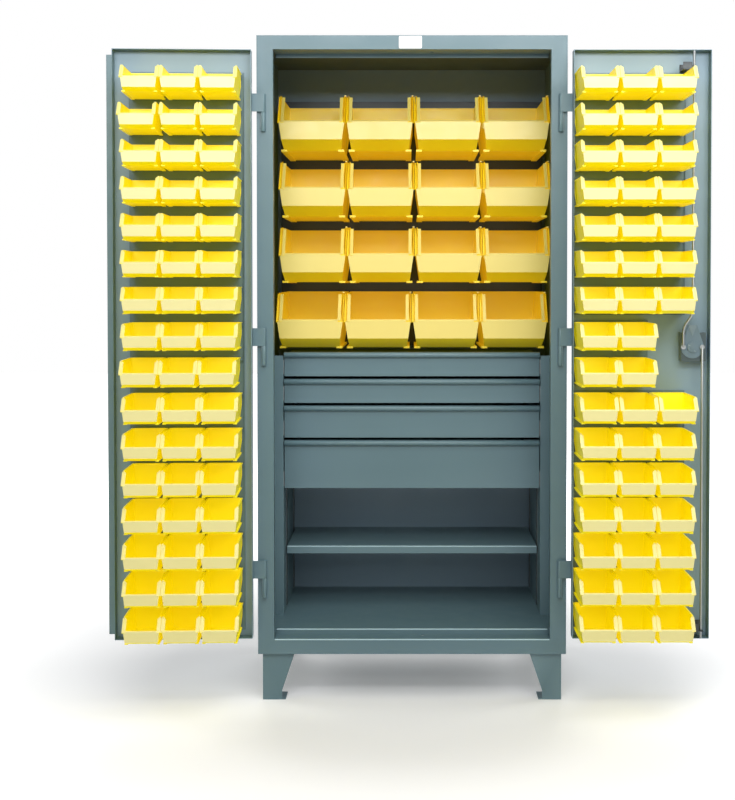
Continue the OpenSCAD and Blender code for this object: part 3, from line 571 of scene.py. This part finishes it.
# The lighter insides of the doors and back panel are painted light; the dark underside of the top and the
# dark back louvre panel are painted shade.
OTHER_PAINTS = {"left_door_pan": LIT_INSIDE_PAINT, "right_door_pan": LIT_INSIDE_PAINT, "latch_bracket": BRACKET_PAINT,
                "louvre_panel_back": SHADE_DARK_PAINT, "top_panel": SHADED_UNDERSIDE_PAINT, "back_panel": LIT_INSIDE_PAINT}
DULL_PLATED = ["shelf_standards", "shelf_clips"]
ZINC_PLATED = ["upper_rod", "lower_rod", "slide_outer_members", "hinge_pins", "handle_escutcheon"]
ZINC_PLATED += ["slide_%s_%d" % (part, i) for part in ("inner", "mid") for i in range(1, 5)]
CAST_STEEL = ["latch_spindle", "latch_cam"]
DARKENED = ["rod_guides", "handle_grip"]

# Widths of the rounded edges
USUAL_EDGE = 0.5 * MM
FOLDED_EDGES = {"floor_pan": 1.2 * MM, "shelf": 1.2 * MM, "front_frame": 0.7 * MM}
PLATED_EDGE = 0.25 * MM
CAST_EDGE = 0.4 * MM
STEEL_EDGE_ANGLE = 40                 # degrees
WELD_GAP = 0.01 * MM                  # corners closer than this become one

OPENING_W = 817.4 * MM
FLOOR_STEP = 16 * MM                  # from the sill's top up to the floor
FOLD_RADIUS = 2.4 * MM
FOLD_SINK = 1.6 * MM                  # how far the radius's centre lies in from each face
FOLD_FROM, FOLD_TURN = -30, 150       # degrees around that centre, where 0 is ahead and 90 is up
FOLD_STEPS = 10
FOLD_END = 2 * MM                     # length over which each end gets thinner
FOLD_END_SHARE = 0.4                  # of the radius, at the very end

PLATE_AT = (-5 * MM, -20.6 * MM)      # the plate's middle: x, and z from the header's top
PLATE_HALF = (33.8 * MM, 18.2 * MM)
PLATE_CORNER = 4 * MM
PLATE_CORNER_STEPS = 6
PLATE_THICK = 0.9 * MM
PLATE_EDGE = 0.5 * MM                 # width of the sloping edge around its face
RIVET_RADIUS = 1.5 * MM
RIVET_RISE = 0.5                      # its crown's height, as a share of its radius
RIVET_IN = 3.6 * MM                   # from the plate's end to the rivet's middle


def finish_node(name, material, edge):
    """A finish and softened edges for a node that keeps its own shape."""
    node = frame["nodes"][name]
    if not node.material_slots:
        node.data.materials.append(material)
    for place in node.material_slots:
        place.material = material
    weld = node.modifiers.new("weld", "WELD")
    weld.merge_threshold = WELD_GAP
    soften(node, edge, STEEL_EDGE_ANGLE).harden_normals = True


def steel():
    for name in PAINTED:
        finish_node(name, OTHER_PAINTS.get(name, PAINT), FOLDED_EDGES.get(name, USUAL_EDGE))
    for names, material, edge in ((ZINC_PLATED, ZINC, PLATED_EDGE), (DULL_PLATED, DULL_ZINC, PLATED_EDGE),
                                  (CAST_STEEL, CAST, CAST_EDGE), (DARKENED, DARK, USUAL_EDGE)):
        for name in names:
            finish_node(name, material, edge)


def highlight_fold(name, half, y, z):
    """The rounded outer corner of a fold, in a bright colour that is a painted highlight: along the edge (y,
    z), from x = -half to half.
    """
    rings = []
    for x, share in ((-half, FOLD_END_SHARE), (FOLD_END - half, 1.0), (half - FOLD_END, 1.0),
                     (half, FOLD_END_SHARE)):
        radius = share * FOLD_RADIUS
        ring = []
        for step in range(FOLD_STEPS + 1):
            angle = math.radians(FOLD_FROM + FOLD_TURN * step / FOLD_STEPS)
            ring.append((x, y + FOLD_SINK - radius * math.cos(angle),
                         z - FOLD_SINK + radius * math.sin(angle)))
        ring.append((x, y + FOLD_SINK, z - FOLD_SINK))
        rings.append(ring)
    thing = as_object(name, loft(rings))
    # The strip's bright colour is a painted highlight.
    thing.data.materials.append(FOLD_HIGHLIGHT_PAINT)
    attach(thing, "cabinet")


def highlight_folds():
    low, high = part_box("shelf")
    highlight_fold("shelf_fold", high[0], low[1], high[2])
    low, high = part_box("floor_pan")
    highlight_fold("floor_fold", OPENING_W / 2, low[1], high[2])
    highlight_fold("sill_fold", OPENING_W / 2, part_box("front_frame")[0][1], high[2] - FLOOR_STEP)


def name_plate():
    """The bare plate on the header: thin enamelled metal with round corners, held by two rivets."""
    low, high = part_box("front_frame")
    centre = Vector((PLATE_AT[0], low[1], high[2] + PLATE_AT[1]))
    half_w, half_h = PLATE_HALF
    outline = []
    for quarter, (sx, sz) in enumerate(((1, 1), (-1, 1), (-1, -1), (1, -1))):
        for step in range(PLATE_CORNER_STEPS + 1):
            angle = math.radians(90 * quarter + 90 * step / PLATE_CORNER_STEPS)
            outline.append((sx * (half_w - PLATE_CORNER) + PLATE_CORNER * math.cos(angle),
                            sz * (half_h - PLATE_CORNER) + PLATE_CORNER * math.sin(angle)))
    rings = []
    for inset, depth in ((0.0, 0.0), (0.0, 0.6 * PLATE_THICK), (PLATE_EDGE, PLATE_THICK)):
        scale_x, scale_z = 1 - inset / half_w, 1 - inset / half_h
        rings.append([centre + Vector((x * scale_x, -depth, z * scale_z)) for x, z in outline])
    made = loft(rings)
    for side in (-1, 1):
        rivet = bmesh.ops.create_uvsphere(made, u_segments=16, v_segments=8, radius=RIVET_RADIUS)["verts"]
        bmesh.ops.scale(made, vec=(1, RIVET_RISE, 1), verts=rivet)
        bmesh.ops.translate(made, vec=centre + Vector((side * (half_w - RIVET_IN), -PLATE_THICK, 0)),
                            verts=rivet)
    bmesh.ops.recalc_face_normals(made, faces=made.faces)
    thing = as_object("name_plate", made)
    thing.data.materials.append(PLATE_WHITE)
    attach(thing, "cabinet")


# ---- Stage, light and camera ----

FLOOR_HALF = 14.0                     # metres, from the middle to the floor's edge
FADE_FROM, FADE_TO = 0.8, 2.5         # metres from the origin, where the floor starts and ends to turn white
NEAR_GLOW = 0.17                      # the floor's own light where it starts to turn white
WORLD_LIGHT = 0.05                    # what the white world gives as light

# Name, place, the point that it aims at, width, height and watts
LIGHTS = [
    ("key", (0.3, -2.5, 2.35), (0.0, -0.3, 2.85), 3.4, 0.7, 54),
    ("front", (0.3, -5.6, 2.9), (0.0, -0.3, 1.6), 6.0, 1.6, 70),
    ("overhead", (0.7, -2.2, 4.2), (0.5, -2.0, 0.0), 4.5, 1.6, 84),
    ("back", (0.0, 4.6, 2.8), (0.0, 0.3, 1.0), 4.0, 1.6, 110),
    ("side", (-4.4, 1.4, 2.6), (-0.45, 0.3, 1.0), 2.0, 1.6, 60),
    ("side", (4.4, 1.4, 2.6), (0.45, 0.3, 1.0), 2.0, 1.6, 60),
]


def floor():
    """A pale floor that takes the cabinet's shadow and turns to pure white further out."""
    look = Look("studio_floor")
    far = look.node("ShaderNodeVectorMath", operation="LENGTH")
    look.link(look.place(), far.inputs[0])
    fade = look.spread(far.outputs["Value"], NEAR_GLOW, 1.0, from_low=FADE_FROM, from_high=FADE_TO)
    look.set(Base_Color=(0.86, 0.86, 0.86), Roughness=0.6, Specular_IOR_Level=0.1,
             Emission_Color=(1.0, 1.0, 1.0),
             Emission_Strength=look.calculate("MULTIPLY", fade, look.seen()))
    mesh = bpy.data.meshes.new("floor")
    mesh.from_pydata([(x * FLOOR_HALF, y * FLOOR_HALF, 0) for x, y in ((-1, -1), (1, -1), (1, 1), (-1, 1))],
                     [], [(0, 1, 2, 3)])
    mesh.update()
    mesh.materials.append(look.material)
    thing = bpy.data.objects.new("floor", mesh)
    bpy.context.scene.collection.objects.link(thing)


def world():
    """A world that looks white and gives little light."""
    made = bpy.data.worlds.new("studio")
    made.use_nodes = True
    nodes = Nodes(made.node_tree)
    background = nodes.tree.nodes["Background"]
    background.inputs["Color"].default_value = (1.0, 1.0, 1.0, 1.0)
    level = nodes.spread(nodes.seen(), WORLD_LIGHT, 1.0, from_low=0.0, from_high=1.0)
    nodes.link(level, background.inputs["Strength"])
    bpy.context.scene.world = made


def lights():
    for name, at, towards, width, height, power in LIGHTS:
        light = bpy.data.lights.new(name, "AREA")
        light.shape = "RECTANGLE"
        light.size = width
        light.size_y = height
        light.energy = power
        thing = bpy.data.objects.new(name, light)
        thing.location = at
        thing.rotation_euler = (Vector(towards) - Vector(at)).to_track_quat("-Z", "Y").to_euler()
        thing.visible_camera = False
        bpy.context.scene.collection.objects.link(thing)


def camera():
    lens = bpy.data.cameras.new("camera")
    lens.sensor_width = SENSOR
    lens.lens = FOCAL_PX * SENSOR / PHOTO_H
    lens.shift_x = (PHOTO_W / 2 - MIDDLE_PX[0]) / PHOTO_H
    lens.shift_y = (MIDDLE_PX[1] - PHOTO_H / 2) / PHOTO_H
    thing = bpy.data.objects.new("camera", lens)
    thing.location = CAMERA_AT
    thing.rotation_euler = (math.pi / 2 - CAMERA_DOWN, 0, 0)
    bpy.context.scene.collection.objects.link(thing)
    bpy.context.scene.camera = thing


camera()
world()
lights()
floor()
steel()
highlight_folds()
name_plate()
back_bins()
door_bins()

bpy.context.scene.view_settings.view_transform = "Standard"
